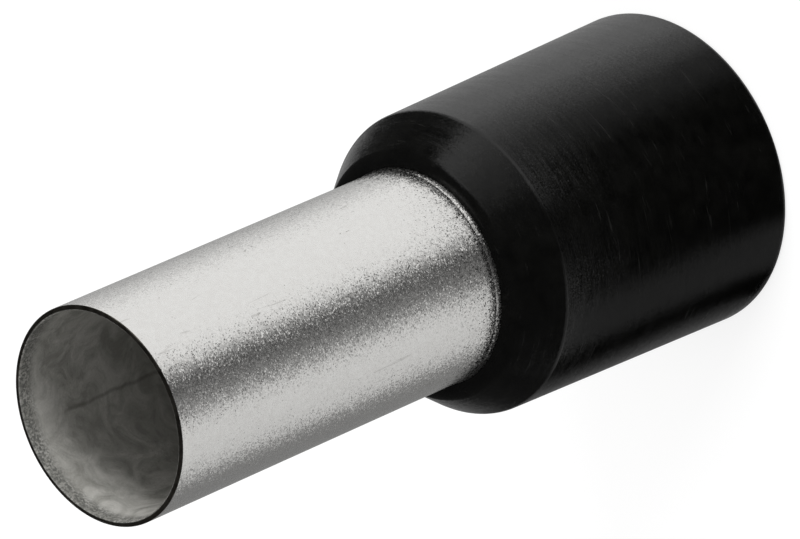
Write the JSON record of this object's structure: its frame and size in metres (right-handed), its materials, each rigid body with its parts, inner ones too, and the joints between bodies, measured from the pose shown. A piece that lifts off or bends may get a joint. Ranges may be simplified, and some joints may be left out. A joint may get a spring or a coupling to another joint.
{
  "type": "wire ferrule",
  "caption": "Insulated wire end ferrule: a thin straight tin-plated sleeve that is crimped on stranded wire, in a black plastic collar with a funnel entry.",
  "frame": {"origin": "centre of the collar's rear rim, on the surface the ferrule stands on", "axes": "+Z runs along the sleeve's axis, from the collar's wire entry towards the sleeve's mouth; X and Y are alike"},
  "size_m": [0.0116, 0.0116, 0.029],
  "materials": {
    "tinned_metal": "tin-plated copper, satin and slightly mottled",
    "black_plastic": "moulded black plastic, satin, lightly scuffed"
  },
  "bodies": {
    "root": {"metal_sleeve": "tinned_metal", "insulating_collar": "black_plastic"}
  },
  "joints": []
}
